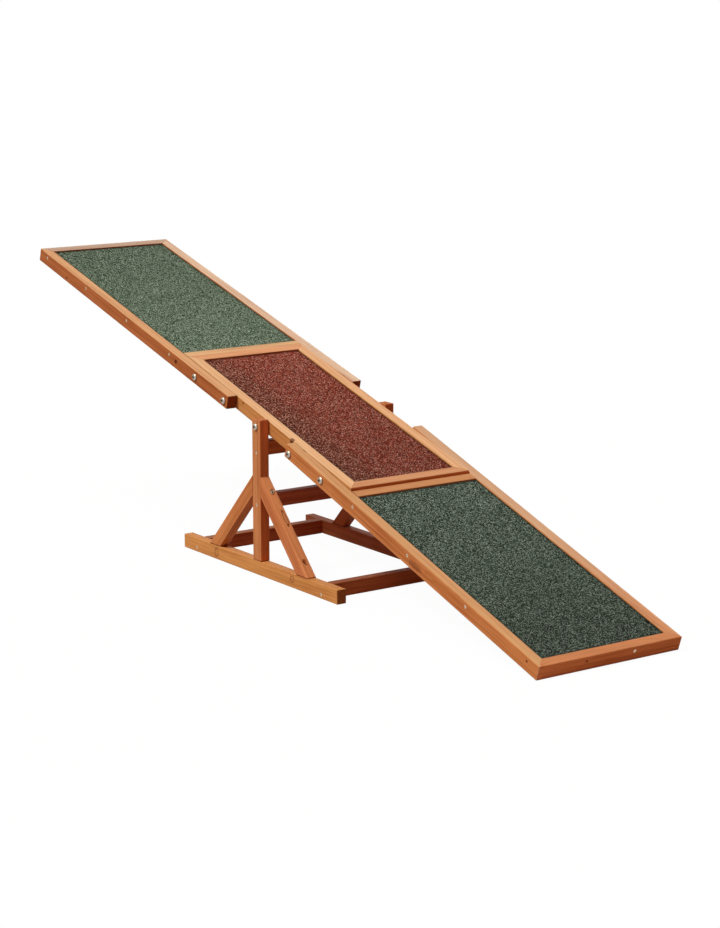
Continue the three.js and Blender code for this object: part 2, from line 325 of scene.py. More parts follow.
def srgb(red, green, blue):
    """A colour read from 0 to 255 as the eye sees it."""
    def linear(value):
        share = value / 255
        return share / 12.92 if share <= 0.04045 else ((share + 0.055) / 1.055) ** 2.4
    return (linear(red), linear(green), linear(blue), 1.0)


# Shared surface effects. Noise is scaled to so many turns in a millimetre, along the bar and across it

def add_knots(n, given, place, seeded):
    """Two knots: how far they bend the rings, their redder hearts and their dark outlines."""
    wobble = n.noise(n.scaled(seeded, (0.3, 0.3, 0.3)), 2.0).outputs[0]
    pulls, insides, rims = [], [], []
    for key in ("Knot A", "Knot B"):
        from_knot = n.vector("SUBTRACT", place, given[key])
        distance = n.vector("LENGTH", n.vector("DIVIDE", from_knot, given[key + " Size"]))
        reach = n.math("MULTIPLY_ADD", n.math("SUBTRACT", wobble, 0.5), 0.9, distance)
        pulls.append(n.math("EXPONENT", n.math("MULTIPLY", n.math("POWER", distance, 2.0), -0.3)))
        insides.append(n.ramp(reach, 1.1, 0.8))
        rims.append(n.math("MULTIPLY", n.ramp(reach, 0.75, 0.95), n.ramp(reach, 1.25, 1.05)))
    bend = n.math("ADD", *pulls)
    heart = n.math("MAXIMUM", *insides)
    outline = n.math("MULTIPLY", n.math("MAXIMUM", *rims), given["Knot Rim"])
    return bend, heart, outline


def add_rings(n, given, place, seeded, bend):
    """Growth rings round the pith, swaying along the bar: 1 in the dark late wood of each ring."""
    warp = n.noise(n.scaled(seeded, (0.0035, 0.02, 0.02)), 2.0)
    sway = n.scaled(n.vector("SUBTRACT", warp.outputs["Color"], (0.5, 0.5, 0.5)), (0.0, 26.0, 26.0))
    from_pith = n.scaled(n.vector("SUBTRACT", place, given["Pith"]), (0.0, 1.0, 1.0))
    from_pith = n.vector("ADD", from_pith, sway)
    radius = n.math("MULTIPLY_ADD", bend, 7.0, n.vector("LENGTH", from_pith))
    count = n.math("DIVIDE", radius, given["Ring Width"])
    uneven = n.add("TexNoise", noise_dimensions="1D")
    n.feed(uneven.inputs["W"], count)
    n.feed(uneven.inputs["Scale"], 0.6)
    phase = n.math("FRACT", n.math("MULTIPLY_ADD", uneven.outputs[0], 2.0, count))
    return n.math("MULTIPLY", n.math("POWER", phase, 2.5), n.ramp(phase, 1.0, 0.88))


def make_softwood():
    """Stained softwood: rings, fibres, streaks and blotches along X, knots, painted light on the upward
    faces, and painted shade in the seams.
    """
    n, given, result = group("Softwood", {
        "Seed": ORIGIN, "Pith": (0.0, 40.0, 60.0), "Ring Width": 3.0, "Contrast": 0.5,
        "Pale": WHITE, "Dark": BLACK, "Knot And Shade Tone": BLACK,
        "Knot A": NOWHERE, "Knot A Size": (4.0, 4.0, 4.0),
        "Knot B": NOWHERE, "Knot B Size": (4.0, 4.0, 4.0),
        "Knot Rim": 0.85, "Knot Heart": 0.35,
        "Top Light Share": 0.0, "Top Light Tone": WHITE, "End Shade": 0.5,
        "Top Light Falloff": 0.0, "Half Length": 100.0,
        "Seat Point": NOWHERE, "Seat Normal": (1.0, 0.0, 0.0),
    })
    place, facing = n.place()
    seeded = n.vector("ADD", place, given["Seed"])
    bend, heart, outline = add_knots(n, given, place, seeded)
    late = add_rings(n, given, place, seeded, bend)

    fibre = n.noise(n.scaled(seeded, (0.02, 0.9, 0.9)), 3.0, 0.6).outputs[0]
    streak = n.noise(n.scaled(seeded, (0.0045, 0.2, 0.2)), 4.0, 0.6).outputs[0]
    blotch = n.noise(n.scaled(seeded, (0.010, 0.03, 0.03)), 2.0).outputs[0]
    depth = n.math("MULTIPLY_ADD", late, 0.5, 0.12)
    depth = n.math("MULTIPLY_ADD", n.ramp(streak, 0.4, 0.66), 0.6, depth)
    depth = n.math("MULTIPLY_ADD", n.math("SUBTRACT", fibre, 0.5), 1.0, depth)
    depth = n.math("MULTIPLY_ADD", n.math("SUBTRACT", blotch, 0.5), 0.8, depth)
    depth = n.math("MULTIPLY", depth, given["Contrast"], clamp=True)
    colour = n.mix(depth, given["Pale"], given["Dark"])

    # Painted light: upward faces take the bar's top tone, a painted sheen on the deck and painted shade on
    # bars under it, less so towards the far end as a painted falloff of that light
    normal = n.add("SeparateXYZ", facing)
    upward = n.ramp(normal.outputs["Z"], 0.5, 0.95)
    thin = n.math("MULTIPLY", n.ramp(streak, 0.75, 0.3, 0.55, 1.0), n.ramp(fibre, 0.8, 0.3, 0.75, 1.0))
    lit_top = n.math("MULTIPLY", upward, n.math("MULTIPLY", given["Top Light Share"], thin))
    along = n.add("SeparateXYZ", place).outputs["X"]
    far_share = n.math("DIVIDE", along, given["Half Length"])
    lost = n.math("MULTIPLY", n.ramp(far_share, 0.0, 1.0), given["Top Light Falloff"])
    lit_top = n.math("MULTIPLY", lit_top, n.math("SUBTRACT", 1.0, lost))
    colour = n.mix(lit_top, colour, given["Top Light Tone"])

    # End grain soaks up the stain; on the end bevels the darkening is also painted shade in the seams
    ends = n.ramp(n.math("ABSOLUTE", normal.outputs["X"]), 0.45, 0.85)
    soaked = n.math("MULTIPLY", ends, given["End Shade"])
    taken = n.scaled(n.add("CombineXYZ", soaked, soaked, soaked).outputs[0], (0.9, 1.15, 1.2))
    shaded = n.vector("MULTIPLY", colour, n.vector("SUBTRACT", (1.0, 1.0, 1.0), taken))
    colour = n.mix(n.math("MULTIPLY", heart, given["Knot Heart"]), shaded, given["Knot And Shade Tone"])
    colour = n.mix(outline, colour, given["Knot And Shade Tone"])

    # Painted shade in the seam where the bar stands on another
    below = n.vector("SUBTRACT", given["Seat Point"], place)
    from_seat = n.vector("DOT_PRODUCT", below, given["Seat Normal"])
    colour = n.mix(n.ramp(from_seat, 2.6, 0.6, 0.0, 0.8), colour, given["Knot And Shade Tone"])

    n.feed(result["Color"], colour)
    height = n.math("MULTIPLY_ADD", fibre, 0.5, n.math("MULTIPLY", late, 0.5))
    n.feed(result["Height"], n.math("SUBTRACT", height, n.math("MULTIPLY", outline, 0.6)))
    rough = n.math("MULTIPLY_ADD", blotch, 0.16, 0.36)
    rough = n.math("MULTIPLY_ADD", ends, 0.25, rough)
    n.feed(result["Roughness"], n.math("MULTIPLY_ADD", fibre, 0.1, rough))
    return n.tree


def make_edge_wear():
    """Masks of a box of the given half size: its arrises, broken up by noise, and what lies inside it."""
    inputs = {"Half Size": (100.0, 10.0, 13.0), "Width": 2.5, "Seed": ORIGIN}
    n, given, result = group("Edge And Hole Masks", inputs, {"Mask": "Float", "Inside": "Float"})
    place, _ = n.place()
    inset = n.vector("SUBTRACT", given["Half Size"], n.vector("ABSOLUTE", place))
    x, y, z = n.add("SeparateXYZ", inset).outputs[:3]
    low = n.math("MINIMUM", n.math("MINIMUM", x, y), z)
    high = n.math("MAXIMUM", n.math("MAXIMUM", x, y), z)
    total = n.math("ADD", n.math("ADD", x, y), z)
    to_edge = n.math("SUBTRACT", n.math("SUBTRACT", total, low), high)
    ragged = n.noise(n.scaled(n.vector("ADD", place, given["Seed"]), (0.05, 0.3, 0.3)), 3.0).outputs[0]
    reach = n.math("MULTIPLY", given["Width"], n.ramp(ragged, 0.35, 0.7, 0.3, 1.4))
    n.feed(result["Mask"], n.math("SUBTRACT", 1.0, n.ramp(n.math("DIVIDE", to_edge, reach), 0.4, 1.0)))
    n.feed(result["Inside"], n.ramp(low, 0.3, 1.2))
    return n.tree


def make_mineral_grit():
    """Pressed mineral granules: a random tone and height to each, patches of another tone in from the front
    edge, and painted shade along the margin.
    """
    n, given, result = group("Mineral Grit", {
        "Grain": 1.4, "Base": GREY, "Patch": GREY, "Deep": BLACK, "Pale": WHITE, "Pale Share": 0.12,
        "Front Patching": 0.0, "Far Shade": 0.0, "Margin": BLACK,
        "Half Size": (100.0, 100.0, 1.0), "Seed": ORIGIN,
    })
    place, _ = n.place()
    seeded = n.vector("ADD", place, given["Seed"])
    cells = n.add("TexVoronoi", voronoi_dimensions="3D")
    n.feed(cells.inputs["Vector"], seeded)
    n.feed(cells.inputs["Scale"], n.math("DIVIDE", 1.0, given["Grain"]))
    tone, size, tint = n.add("SeparateColor", cells.outputs["Color"]).outputs[:3]

    # The patch tone comes in from the front edge in ragged patches
    half = n.add("SeparateXYZ", given["Half Size"]).outputs
    spot = n.add("SeparateXYZ", place).outputs
    patches = n.noise(n.scaled(seeded, (0.012, 0.02, 0.02)), 3.0).outputs[0]
    creep = n.math("SUBTRACT", patches, 0.5)
    from_front = n.math("ADD", spot["Y"], half["Y"])
    inward = n.math("MULTIPLY_ADD", creep, 120, from_front)
    front_patching = n.math("MULTIPLY", n.ramp(inward, 85.0, 0.0), given["Front Patching"])
    colour = n.mix(front_patching, given["Base"], given["Patch"])
    colour = n.mix(n.ramp(tone, 0.62, 0.28), colour, given["Deep"])
    chosen = n.math("GREATER_THAN", size, n.math("SUBTRACT", 1.0, given["Pale Share"]))
    colour = n.mix(n.math("MULTIPLY", chosen, n.ramp(tint, 0.0, 1.0, 0.5, 1.0)), colour, given["Pale"])

    # Each sheet is a little darker towards the far end of its own X
    far_share = n.math("MULTIPLY_ADD", n.math("DIVIDE", spot["X"], half["X"]), 0.5, 0.5)
    shaded = n.add("VectorMath", colour, operation="SCALE")
    shade = n.math("MULTIPLY", far_share, given["Far Shade"])
    n.feed(shaded.inputs["Scale"], n.math("SUBTRACT", 1.0, shade))
    colour = shaded.outputs["Vector"]

    # Painted shade: darker towards the edges, where the sheet lies in the recess below the rails
    edge_x = n.math("SUBTRACT", half["X"], n.math("ABSOLUTE", spot["X"]))
    edge_y = n.math("SUBTRACT", half["Y"], n.math("ABSOLUTE", spot["Y"]))
    to_edge = n.math("MULTIPLY_ADD", n.math("SUBTRACT", tone, 0.5), 5.0, n.math("MINIMUM", edge_x, edge_y))
    colour = n.mix(n.ramp(to_edge, 5.5, 2.0, 0.0, 0.8), colour, given["Margin"])

    n.feed(result["Color"], colour)
    hump = n.math("SUBTRACT", 1.0, cells.outputs["Distance"])
    n.feed(result["Height"], n.math("MULTIPLY", hump, n.math("MULTIPLY_ADD", tone, 0.7, 0.3)))
    n.feed(result["Roughness"], n.ramp(size, 0.0, 1.0, 0.62, 0.92))
    return n.tree


def make_plated_metal():
    """Fine turning marks and handling dulls on plated steel, and painted shade where the mesh marks a recess.
    """
    inputs = {"Bright": WHITE, "Dull": GREY, "Polish": 0.2, "Recess Shade": BLACK}
    n, given, result = group("Plated Metal", inputs)
    place, _ = n.place()
    smear = n.noise(n.scaled(place, (0.35, 0.35, 0.35)), 3.0).outputs[0]
    marks = n.noise(n.scaled(place, (2.5, 2.5, 2.5)), 4.0, 0.7).outputs[0]
    surface = n.mix(n.ramp(smear, 0.4, 0.75), given["Bright"], given["Dull"])
    # Painted shade: the marked recess faces take the dark recess tone
    in_recess = n.add("Attribute", attribute_name="recess_shade").outputs["Fac"]
    n.feed(result["Color"], n.mix(in_recess, surface, given["Recess Shade"]))
    n.feed(result["Height"], marks)
    handled = n.math("MULTIPLY", smear, marks)
    n.feed(result["Roughness"], n.math("MULTIPLY_ADD", handled, 0.35, given["Polish"]))
    return n.tree


SOFTWOOD = make_softwood()
EDGE_AND_HOLE_MASKS = make_edge_wear()
MINERAL_GRIT = make_mineral_grit()
PLATED_METAL = make_plated_metal()

# Materials, one to a bar. The tone of knots is also painted shade, inside holes and in the seams at seats
KNOT_AND_SHADE_TONE = (96, 40, 18)
EDGE_MASK_SEED_STEP = 500


def start_material(name, effect, values):
    """A material with its Principled shader and one shared effect that feeds colour, roughness and bump."""
    material = bpy.data.materials.new(name)
    material.use_nodes = True
    n = Nodes(material.node_tree)
    shader = n.tree.nodes["Principled BSDF"]
    surface = n.add("Group")
    surface.node_tree = effect
    for label, value in values.items():
        surface.inputs[label].default_value = value
    n.feed(shader.inputs["Base Color"], surface.outputs["Color"])
    n.feed(shader.inputs["Roughness"], surface.outputs["Roughness"])
    bump = n.add("Bump")
    n.feed(bump.inputs["Height"], surface.outputs["Height"])
    n.feed(shader.inputs["Normal"], bump.outputs["Normal"])
    return material, n, shader, surface, bump


def seed_vector(seed):
    dice = random.Random(seed)
    return tuple(dice.uniform(-900, 900) for _ in range(3))


def halved(size):
    return tuple(length / 2 for length in size)


def toned(colour, factors):
    return tuple(value * factor for value, factor in zip(colour, factors)) + (1.0,)


def wood(name, size, seed, side, top, top_light_falloff=0.0, knots=(), knot_rim=0.85, knot_heart=0.35,
         end_shade=0.5, seat=None, hole_shade=0.0):
    """Stained softwood for one bar, with its own pith, rings and knots, each a place and its half sizes.

    The seat is a point and a normal of the face that the bar stands on."""
    dice = random.Random(seed)
    pith = (0.0, dice.choice((-1, 1)) * dice.uniform(8, 40), dice.uniform(-60, -25))
    side, top, knot_and_shade_tone = srgb(*side), srgb(*top), srgb(*KNOT_AND_SHADE_TONE)
    values = {
        "Seed": seed_vector(seed), "Pith": pith, "Ring Width": dice.uniform(2.6, 4.2), "Contrast": 0.8,
        "Pale": toned(side, (1.12, 1.18, 1.25)), "Dark": toned(side, (0.66, 0.5, 0.4)),
        "Knot And Shade Tone": knot_and_shade_tone, "Knot Rim": knot_rim, "Knot Heart": knot_heart,
        # The top tone goes on the upward faces as painted light
        "Top Light Share": 0.85, "Top Light Tone": top, "End Shade": end_shade,
        "Top Light Falloff": top_light_falloff, "Half Length": size[0] / 2,
    }
    for key, (place, half_sizes) in zip(("Knot A", "Knot B"), knots):
        values[key] = place
        values[key + " Size"] = half_sizes
    if seat:
        values["Seat Point"], values["Seat Normal"] = seat
    material, n, shader, surface, bump = start_material(name, SOFTWOOD, values)
    edge_masks = n.add("Group")
    edge_masks.node_tree = EDGE_AND_HOLE_MASKS
    edge_masks.inputs["Half Size"].default_value = halved(size)
    edge_masks.inputs["Seed"].default_value = seed_vector(seed + EDGE_MASK_SEED_STEP)
    # Painted highlight: the arrises take a share of the top tone, partly real rubbing; the insides of holes
    # take painted shade
    rubbed_and_highlit = n.math("MULTIPLY", edge_masks.outputs["Mask"], 0.2)
    outside = n.mix(rubbed_and_highlit, surface.outputs["Color"], top)
    in_hole = n.math("MULTIPLY", edge_masks.outputs["Inside"], hole_shade)
    n.feed(shader.inputs["Base Color"], n.mix(in_hole, outside, knot_and_shade_tone))
    bump.inputs["Strength"].default_value = 0.35
    bump.inputs["Distance"].default_value = 0.25 * MM
    shader.inputs["IOR"].default_value = 1.5
    shader.inputs["Specular IOR Level"].default_value = 0.06
    return material


def grit(name, size, seed, look):
    """A mineral grit sheet."""
    values = {"Half Size": halved(size), "Seed": seed_vector(seed), **look}
    material, _, shader, _, bump = start_material(name, MINERAL_GRIT, values)
    bump.inputs["Strength"].default_value = 0.8
    bump.inputs["Distance"].default_value = 0.5 * MM
    shader.inputs["Specular IOR Level"].default_value = 0.03
    return material


def plated(name, bright, dull, polish):
    values = {"Bright": bright, "Dull": dull, "Polish": polish, "Recess Shade": (0.05, 0.03, 0.02, 1)}
    material, _, shader, _, bump = start_material(name, PLATED_METAL, values)
    bump.inputs["Strength"].default_value = 0.15
    bump.inputs["Distance"].default_value = 0.05 * MM
    shader.inputs["Metallic"].default_value = 1.0
    return material


BOLT_STEEL = plated("bolt_steel", (0.5, 0.43, 0.35, 1), (0.34, 0.28, 0.22, 1), 0.25)
SCREW_STEEL = plated("screw_steel", (0.8, 0.64, 0.45, 1), (0.55, 0.42, 0.28, 1), 0.25)
INSERT_ZINC = plated("insert_zinc", (0.75, 0.68, 0.5, 1), (0.5, 0.45, 0.33, 1), 0.3)

# Each bar's tones: its sides, then the face on its own +Z side. They hold painted light as well as the stain:
# painted sheen on the deck's upper faces, and painted shade on the bars under the deck and on faces turned
# from the lamps. A bar that isn't named looks like the others of its slot.
TONES_WITH_PAINTED_LIGHT = {
    "deck_wood": ((210, 130, 75), (220, 175, 125)),
    "low_section_rail_front": ((210, 130, 75), (215, 170, 120)),
    "low_section_rail_back": ((210, 130, 75), (215, 180, 145)),
    "low_section_end_rail": ((250, 160, 100), (170, 110, 70)),
    "low_section_cross_rail": ((210, 130, 75), (200, 145, 100)),
    "high_section_rail_front": ((190, 110, 60), (235, 185, 135)),
    "high_section_rail_back": ((195, 115, 70), (240, 215, 185)),
    "high_section_end_rail": ((195, 115, 70), (200, 185, 165)),
    "high_section_cross_rail": ((195, 115, 70), (235, 195, 145)),
    "middle_rail_front": ((210, 140, 80), (245, 200, 155)),
    "middle_rail_back": ((210, 140, 80), (240, 190, 145)),
    "middle_end_rail_low": ((210, 130, 75), (210, 155, 115)),
    "middle_end_rail_high": ((210, 130, 75), (235, 175, 130)),
    "stand_wood": ((210, 135, 80), (190, 150, 95)),
    "base_rail_front": ((220, 150, 85), (195, 125, 70)),
    # The posts' +Z faces look along world +X; their top tone is painted shade of that side
    "post_front": ((210, 135, 85), (235, 130, 75)),
    "post_back": ((205, 125, 75), (205, 110, 60)),
    # From here to post_cross_rail_top, the darker tones and dark upper faces are painted shade under the deck
    "base_rail_back": ((205, 120, 75), (180, 120, 85)),
    "brace_back_high": ((205, 120, 75), (170, 100, 60)),
    "brace_back_low": ((200, 115, 70), (170, 95, 55)),
    "base_cross_rail_low": ((210, 120, 75), (95, 50, 30)),
    "base_cross_rail_high": ((190, 100, 65), (130, 85, 50)),
    "post_cross_rail_middle": ((205, 115, 85), (105, 50, 30)),
    "post_cross_rail_top": ((215, 125, 75), (120, 65, 40)),
    "brace_front_low": ((220, 135, 85), (240, 155, 100)),
    "brace_front_high": ((215, 135, 80), (190, 150, 95)),
}
BOARD_TONE = (190, 150, 106)

# What else the photograph shows on single bars, for wood() above: knots by their place on the bar, where
# the painted top light falls off, and painted shade in the seam where an arm lies on the middle section
RAIL_SIDE = DECK_RAIL[0] / 2
MARKS = {
    "low_section_rail_front": {
        "knots": [((35, -10, -2), (20, 9, 6)), ((-345, 8, 13), (6, 3, 6))], "knot_rim": 0.0,
        "knot_heart": 0.42, "seat": ((0, RAIL_SIDE, 0), (0, 1, 0)),
    },
    "low_section_rail_back": {"top_light_falloff": 0.65},
    "high_section_rail_front": {
        "knots": [((-186.9, 10, 0.8), (4, 6, 4)), ((257.8, 10, -5), (3, 5, 2))], "knot_heart": 0.8,
        "seat": ((0, -RAIL_SIDE, 0), (0, -1, 0)),
    },
    "middle_rail_front": {"knots": [((87, -9, 13), (5, 3.5, 8))], "knot_heart": 0.9},
    "base_rail_front": {
        "knots": [((-142, -10, 0), (6, 12, 8)), ((116.5, -10, 3), (6, 12, 6))], "knot_rim": 0.65,
        "knot_heart": 0.15, "end_shade": 0.42,
    },
    "base_rail_back": {"end_shade": 0.42},
}


# Bars

def bar(name, at, size, body, seed, cuts=(), pits=(), ease=EDGE_EASE, **marks):
    """A bar of the deck or the stand: its shape as bar_mesh says, its look as TONES_WITH_PAINTED_LIGHT, MARKS and marks say."""
    mesh = bar_mesh(name, size, cuts, pits, ease)
    slot = body + "_wood"
    side, top = TONES_WITH_PAINTED_LIGHT.get(name, TONES_WITH_PAINTED_LIGHT[slot])
    marks = {"hole_shade": 0.75 if pits else 0.0, **MARKS.get(name, {}), **marks}
    material = wood(name + "_wood", size, seed, side, top, **marks)
    piece = add_piece(name, mesh, at, body, material, [name])
    smooth = piece.modifiers.new("even_faces", "WEIGHTED_NORMAL")
    smooth.keep_sharp = True


def mitre(length, thickness, outer, end):
    """The plane that takes a rail's end off from its outer corner to its inner one."""
    normal = Vector((end, -outer, 0)).normalized()
    return Vector((end * length / 2, outer * thickness / 2, 0)) - normal * MITRE_SEAM, normal


# Where each screw's head sits, gathered while the bars are made
screw_heads = {"deck": [], "stand": [], "braces": []}


def screwed(spots, at, body):
    """Pits for screws: a spot is a point on the surface, its outward direction, and whether it is open."""
    pits = []
    for point, outward, is_open in spots:
        pit = shift(*point) @ aim(outward)
        if is_open:
            pits.append((pit, PILOT_RADIUS, PILOT_DEPTH))
        else:
            pits.append((pit, PIT_RADIUS, FLUSH + PIT_BELOW_HEAD))
            screw_heads[body].append(at @ pit @ shift(0, 0, -FLUSH))
    return pits


def outer_section(name, at, seed):
    """The rails of an outer section; its own X runs from the bolted joint to the end."""
    thickness, height = DECK_RAIL
    tip, end = ARM_TIP - JOINT, DECK_HALF_LENGTH - JOINT
    length = end - tip
    centre = (end + tip) / 2
    rail_y = (DECK_WIDTH - thickness) / 2
    cross_x = MIDDLE_HALF_LENGTH + SECTION_GAPS[name] + CROSS_RAIL_THICKNESS / 2 - JOINT
    for index, (side, sign) in enumerate(SECTION_SIDES[name]):
        rail_at = at @ shift(centre, sign * rail_y, 0)
        skin = sign * thickness / 2
        outward = (0, sign, 0)
        spots = []
        for number, x in enumerate(PANEL_SCREWS):
            is_open = (name, side, number) in OPEN_HOLES
            spots.append(((x - JOINT - centre, skin, PANEL_SCREW_RISE), outward, is_open))
        if name == "high":
            spots.append(((cross_x - centre, skin, CROSS_RAIL_HOLE_RISE), outward, True))
        bar(f"{name}_section_rail_{side}", rail_at, (length, thickness, height), "deck", seed + index,
            cuts=[mitre(length, thickness, sign, 1)], pits=screwed(spots, rail_at, "deck"))

    end_at = at @ shift(end - thickness / 2, 0, 0) @ ACROSS
    spots = []
    for number, y in enumerate((-END_SCREW_SPREAD, END_SCREW_SPREAD)):
        is_open = (name, "end", number) in OPEN_HOLES
        spots.append(((y, -thickness / 2, PANEL_SCREW_RISE), (0, -1, 0), is_open))
    bar(f"{name}_section_end_rail", end_at, (DECK_WIDTH, thickness, height), "deck", seed + 2,
        cuts=[mitre(DECK_WIDTH, thickness, -1, tip_sign) for tip_sign in (-1, 1)],
        pits=screwed(spots, end_at, "deck"))

    cross_size = (DECK_WIDTH - 2 * thickness - 2 * SEAT_GAP, CROSS_RAIL_THICKNESS, height)
    bar(f"{name}_section_cross_rail", at @ shift(cross_x, 0, 0) @ ACROSS, cross_size, "deck", seed + 3,
        ease=TIGHT_EASE if name == "high" else EDGE_EASE)


def middle_section(seed):
    """The rails between the outer sections, mitred at all four corners."""
    thickness, height = DECK_RAIL
    length = 2 * MIDDLE_HALF_LENGTH
    for index, (side, sign) in enumerate(SIDES):
        at = DECK @ shift(0, sign * (MIDDLE_HALF_WIDTH - thickness / 2), 0)
        spots = [((sign * MIDDLE_HOLE, sign * thickness / 2, MIDDLE_HOLE_RISE), (0, sign, 0), True)]
        bar(f"middle_rail_{side}", at, (length, thickness, height), "deck", seed + index,
            cuts=[mitre(length, thickness, sign, tip_sign) for tip_sign in (-1, 1)],
            pits=screwed(spots, at, "deck"))
    width = 2 * MIDDLE_HALF_WIDTH
    for index, (end, sign) in enumerate((("high", -1), ("low", 1))):
        at = DECK @ shift(sign * (MIDDLE_HALF_LENGTH - thickness / 2), 0, 0) @ ACROSS
        bar(f"middle_end_rail_{end}", at, (width, thickness, height), "deck", seed + 2 + index,
            cuts=[mitre(width, thickness, -sign, tip_sign) for tip_sign in (-1, 1)],
            ease=TIGHT_EASE if end == "high" else EDGE_EASE)


def brace(side, sign, end_name, end, seed):
    """A brace: its X runs from foot to head, and its Z points away from the post."""
    thickness, width = BAR
    along = Vector((-end * math.cos(BRACE_ANGLE), 0, math.sin(BRACE_ANGLE)))
    outward = Vector((end * math.sin(BRACE_ANGLE), 0, math.cos(BRACE_ANGLE)))
    beside = outward.cross(along)
    span = (BRACE_FOOT - width / 2) / math.cos(BRACE_ANGLE)
    y = sign * (POST_INNER_FACE + thickness / 2)
    at = Matrix((along, beside, outward)).transposed().to_4x4()
    at.translation = Vector((end * BRACE_FOOT, y, width)) + along * span / 2
    to_bar = at.inverted()
    turned = to_bar.to_3x3()
    foot_plane = (to_bar @ Vector((0, y, width + SEAT_GAP)), turned @ Vector((0, 0, -1)))
    head_plane = (to_bar @ Vector((end * (width / 2 + SEAT_GAP), y, 0)), turned @ Vector((-end, 0, 0)))

    # Screw bores: the upper one goes level into the post, the lower one straight down
    level, upright = turned @ Vector((end, 0, 0)), turned @ Vector((0, 0, 1))
    bores = ((span - HEAD_TO_BORE, level, LEVEL_SCREW_SINK), (FOOT_TO_BORE, upright, UPRIGHT_SCREW_SINK))
    aside = -sign * beside.y * BORE_OFFSET
    pits = []
    for from_foot, out_of_bore, sink in bores:
        pit = shift(from_foot - span / 2, aside, width / 2) @ aim(out_of_bore)
        pits.append((pit, BORE_RADIUS, BORE_DEPTH))
        screw_heads["braces"].append(at @ pit @ shift(0, 0, -sink))

    has_crack = (side, end_name) == ("front", "low")
    crack = [((19, aside * 1.2, width / 2), (15, 3.2, 4))]
    bar(f"brace_{side}_{end_name}", at, (span + 2 * width, thickness, width), "stand", seed,
        cuts=[foot_plane, head_plane], pits=pits, seat=foot_plane, knots=crack if has_crack else (),
        knot_heart=0.2, hole_shade=0.3)


def side_frame(side, sign, seed):
    """A base rail, the post on it and the two braces of the post."""
    thickness, width = BAR
    y = sign * (POST_INNER_FACE + thickness / 2)
    skin = sign * thickness / 2
    base_at = shift(0, y, width / 2)
    spots = [((x, skin, z - width / 2), (0, sign, 0), False) for x, z in BASE_SCREWS]
    bar(f"base_rail_{side}", base_at, (BASE_LENGTH, thickness, width), "stand", seed,
        pits=screwed(spots, base_at, "stand"))

    length = POST_TOP - width
    middle_z = width + length / 2
    post_at = shift(0, y, middle_z) @ UPRIGHT
    spots = [((z - middle_z, -skin, 0), (0, -sign, 0), False) for z in POST_SCREW_HEIGHTS]
    pits = screwed(spots, post_at, "stand")
    pivot_hole = shift(PIVOT_HEIGHT - middle_z, skin, 0) @ turn("X", math.pi / 2)
    pits.append((pivot_hole, PIVOT_HOLE_RADIUS, thickness + 1))
    bar(f"post_{side}", post_at, (length, thickness, width), "stand", seed + 1, pits=pits,
        end_shade=0.25, seat=((-length / 2, 0, 0), (-1, 0, 0)))
    brace(side, sign, "high", -1, seed + 2)
    brace(side, sign, "low", 1, seed + 3)


def cross_rails(seed):
    """The four rails that join the side frames."""
    thickness, width = BAR
    size = (2 * (POST_INNER_FACE - SEAT_GAP), thickness, width)
    places = {
        "base_cross_rail_high": (-BASE_CROSS, width / 2), "base_cross_rail_low": (BASE_CROSS, width / 2),
        "post_cross_rail_top": (0, POST_CROSS_HEIGHTS["top"]),
        "post_cross_rail_middle": (0, POST_CROSS_HEIGHTS["middle"]),
    }
    for index, (name, (x, z)) in enumerate(places.items()):
        bar(name, shift(x, 0, z) @ ACROSS, size, "stand", seed + index)


# Boards and grit sheets

def grit_mesh(name, length, width, seed):
    """A thin slab with a faceted, granular top, drawn as a jittered grid."""
    dice = random.Random(seed)
    columns, rows = round(length / GRIT_PITCH), round(width / GRIT_PITCH)
    half = SHEET_THICKNESS / 2
    points, faces = [], []
    for j in range(rows + 1):
        for i in range(columns + 1):
            x = length * (i / columns - 0.5)
            y = width * (j / rows - 0.5)
            z = half + dice.uniform(-GRIT_DEPTH, GRIT_RISE)
            if 0 < i < columns:
                x += dice.uniform(-1, 1) * GRIT_JITTER
            if 0 < j < rows:
                y += dice.uniform(-1, 1) * GRIT_JITTER
            points.append((x, y, z))
    stride = columns + 1
    for j in range(rows):
        for i in range(columns):
            a = j * stride + i
            b, c, d = a + 1, a + stride + 1, a + stride
            faces += [(a, b, c), (a, c, d)] if (i + j) % 2 else [(a, b, d), (b, c, d)]

    # The sides and the underside hang on the rim, once round the grid
    outline = [(i, 0) for i in range(columns)] + [(columns, j) for j in range(rows)]
    outline += [(i, rows) for i in range(columns, 0, -1)] + [(0, j) for j in range(rows, 0, -1)]
    rim = [j * stride + i for i, j in outline]
    under = len(points)
    points += [(points[k][0], points[k][1], -half) for k in rim]
    count = len(rim)
    for k in range(count):
        following = (k + 1) % count
        faces.append((rim[following], rim[k], under + k, under + following))
    faces.append(tuple(under + k for k in range(count - 1, -1, -1)))
    mesh = bpy.data.meshes.new(name)
    mesh.from_pydata([tuple(MM * value for value in point) for point in points], [], faces)
    mesh.update()
    return mesh


